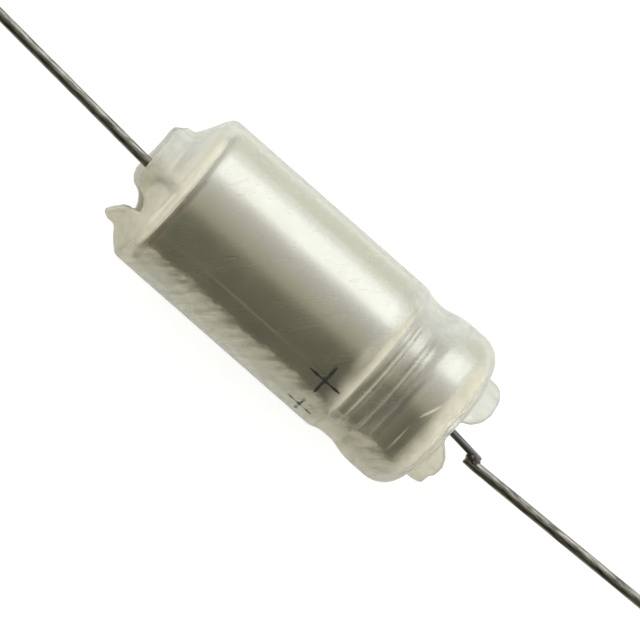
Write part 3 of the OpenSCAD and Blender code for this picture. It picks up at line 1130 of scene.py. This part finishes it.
# floor, hood, lamps
studio = dict(
    floorColour="C4C4C1",
    floorGlow=0.68,  # lifts the floor to white for the camera, and the shadow stays
    floorSize=1.6,
    hood=(0.15, 0.045, 0.13, 0.13),  # reach along -X, towards -Y, towards +Y and up, in metres
    hoodLengthwise=(-89.9, 40),  # degrees that it covers, from straight up
    hoodAcross=(-42, 100),
    hoodGrid=(41, 61),
    hoodWarmth=1.03,
    # it darkens towards the closed end and lightens towards the other: by how much, from, to
    hoodDarker=(0.6, 10, 55),
    hoodLighter=(0.8, 8, 46),
    # tone of the hood by degrees from straight up, towards +Y, with its share of blue
    tones=[
        (-100, 0.088, 0.68), (-42, 0.11, 0.68), (-25, 0.215, 0.72), (-8, 0.36, 0.76),
        (8, 0.45, 0.82), (25, 0.57, 0.97), (42, 0.8, 1.05),
    ],
    # grey cards on the floor, glowing sheets seen only in reflections and through the film, as
    # painted shade of the floor round the part: far edge, near edge, tone
    cards=[(-0.043, -0.004, 0.6), (0.05, 0.004, 0.91)],
    cardHalf=0.05,  # half their length
    cardBlue=0.9,
    cardLift=0.2,  # in mm, off the floor
    softbox=(0.34, 0.11, 0.086),  # length, height, power in watts
    lampPlace=(0.0, 0.15, 0.066),
    lampColour="F0F6FF",
    fill=0.13,  # power of the matt fill in front of the softbox, which leaves no glint
    roomLevel=0.8,  # soft light from the pale room
)
viewRays = ("Is Camera Ray", "Is Glossy Ray", "Is Transmission Ray")


def stageFloor():
    material, tree, out = newMaterial("paperFloor")
    glow = addNode(
        tree, "Math", {"operation": "MULTIPLY", 1: studio["floorGlow"]}, {0: anyRay(tree, *viewRays)}
    )
    paper = addNode(tree, "BsdfDiffuse", {"Color": hexToLinear(studio["floorColour"])})
    lift = addNode(tree, "Emission", {"Color": grey(1)}, {"Strength": glow})
    both = addNode(tree, "AddShader", None, {0: paper, 1: lift})
    tree.links.new(both.outputs[0], out.inputs["Surface"])
    half = studio["floorSize"] / 2 / mm
    corners = [(-half, -half, 0), (half, -half, 0), (half, half, 0), (-half, half, 0)]
    floor = meshObject("paperFloorSheet", corners, [(0, 1, 2, 3)], material)


def stageHood():
    # a dark hood over the back and the closed end, open towards the softbox and the crimped end; it
    # glows with painted tones of light and shade and is seen only in reflections and through the film
    reach, back, front, up = studio["hood"]
    material, tree, out = newMaterial("hoodGlow")
    shade = addNode(tree, "Attribute", {"attribute_name": "shade"})
    cloth = addNode(tree, "Emission", None, {"Color": shade})
    tree.links.new(cloth.outputs[0], out.inputs["Surface"])
    places, tones, blues = np.array(studio["tones"]).T
    darker, darkFrom, darkTo = studio["hoodDarker"]
    lighter, lightFrom, lightTo = studio["hoodLighter"]
    rows, columns = studio["hoodGrid"]
    points, shades = [], []
    for lengthwise in np.radians(np.linspace(*studio["hoodLengthwise"], rows)):
        for across in np.radians(np.linspace(*studio["hoodAcross"], columns)):
            side = -back if across > 0 else -front
            points.append(
                (
                    reach * math.sin(lengthwise) / mm,
                    side * math.cos(lengthwise) * math.sin(across) / mm,
                    axisHeight + up * math.cos(lengthwise) * math.cos(across) / mm,
                )
            )
            sideways, endways = -math.degrees(across), math.degrees(lengthwise)
            tone = float(np.interp(sideways, places, tones))
            blue = float(np.interp(sideways, places, blues))
            tone *= 1 - darker * float(smooth(-endways, darkFrom, darkTo))
            tone *= 1 + lighter * float(smooth(endways, lightFrom, lightTo))
            shades.append((tone * studio["hoodWarmth"], tone, tone * blue, 1))
    faces = []
    for i in range(rows - 1):
        for j in range(columns - 1):
            a = i * columns + j
            faces.append((a, a + 1, a + columns + 1, a + columns))
    hood = meshObject("darkHood", points, faces, material, 60)
    sheets = [(hood, shades)]
    half = studio["cardHalf"]
    # painted shade of the floor round the part, seen in the case's reflections
    for number, (far, close, tone) in enumerate(studio["cards"], 1):
        corners = [(-half, far), (half, far), (half, close), (-half, close)]
        corners = [(x / mm, y / mm, studio["cardLift"]) for x, y in corners]
        card = meshObject(f"floorShadeCard{number}", corners, [(0, 1, 2, 3)], material)
        sheets.append((card, [(tone, tone, tone * studio["cardBlue"], 1)] * 4))
    for sheet, colours in sheets:
        layer = sheet.data.color_attributes.new("shade", "FLOAT_COLOR", "POINT")
        layer.data.foreach_set("color", np.array(colours, np.float32).ravel())
        sheet.visible_camera = False
        sheet.visible_diffuse = False
        sheet.visible_shadow = False


def stageLights():
    length, height, power = studio["softbox"]
    for name, watts, glint in (("softbox", power, True), ("mattFill", studio["fill"], False)):
        lamp = bpy.data.lights.new(name, "AREA")
        lamp.shape = "RECTANGLE"
        lamp.size = length
        lamp.size_y = height
        lamp.energy = watts
        lamp.color = hexToLinear(studio["lampColour"])[:3]
        box = bpy.data.objects.new(name, lamp)
        box.location = studio["lampPlace"]
        toPart = Vector((0, 0, axisHeight * mm)) - box.location
        box.rotation_euler = toPart.to_track_quat("-Z", "Y").to_euler()
        box.visible_glossy = glint
        box.visible_transmission = glint
        bpy.context.scene.collection.objects.link(box)
    world = bpy.data.worlds.new("paleRoom")
    world.use_nodes = True
    tree = world.node_tree
    tree.nodes.clear()
    out = addNode(tree, "OutputWorld")
    level = addNode(
        tree, "MapRange", {"To Min": studio["roomLevel"]}, {"Value": anyRay(tree, *viewRays)}
    )
    back = addNode(tree, "Background", {"Color": grey(1)}, {"Strength": level})
    tree.links.new(back.outputs[0], out.inputs["Surface"])
    bpy.context.scene.world = world


view = dict(
    target=(0.84, -0.26),  # middle of the picture, in mm, at the height of the axis
    width=36.36,  # breadth that the picture takes in there
    tilt=5.0,  # degrees from straight above, towards the closed end
    roll=41.3,  # the crimped end points this far below the right
    distance=420.0,
    sensor=36,
)


def placeCamera():
    tilt, roll = math.radians(view["tilt"]), math.radians(view["roll"])
    back = Vector((-math.sin(tilt), 0, math.cos(tilt)))
    alongX = Vector((math.cos(tilt), 0, math.sin(tilt)))
    alongY = Vector((0, 1, 0))
    right = alongX * math.cos(roll) + alongY * math.sin(roll)
    top = alongY * math.cos(roll) - alongX * math.sin(roll)
    target = Vector((view["target"][0], view["target"][1], axisHeight)) * mm
    lens = bpy.data.cameras.new("longLens")
    lens.sensor_width = view["sensor"]
    lens.lens = view["sensor"] * view["distance"] / view["width"]
    lens.clip_start = 0.01
    lens.clip_end = 10
    camera = bpy.data.objects.new("longLens", lens)
    turn = Matrix((right, top, back)).transposed().to_4x4()
    camera.matrix_world = Matrix.Translation(target + back * view["distance"] * mm) @ turn
    bpy.context.scene.collection.objects.link(camera)
    bpy.context.scene.camera = camera


stageFloor()
stageHood()
stageLights()
placeCamera()
bpy.context.scene.view_settings.view_transform = "Standard"
print("stage set")
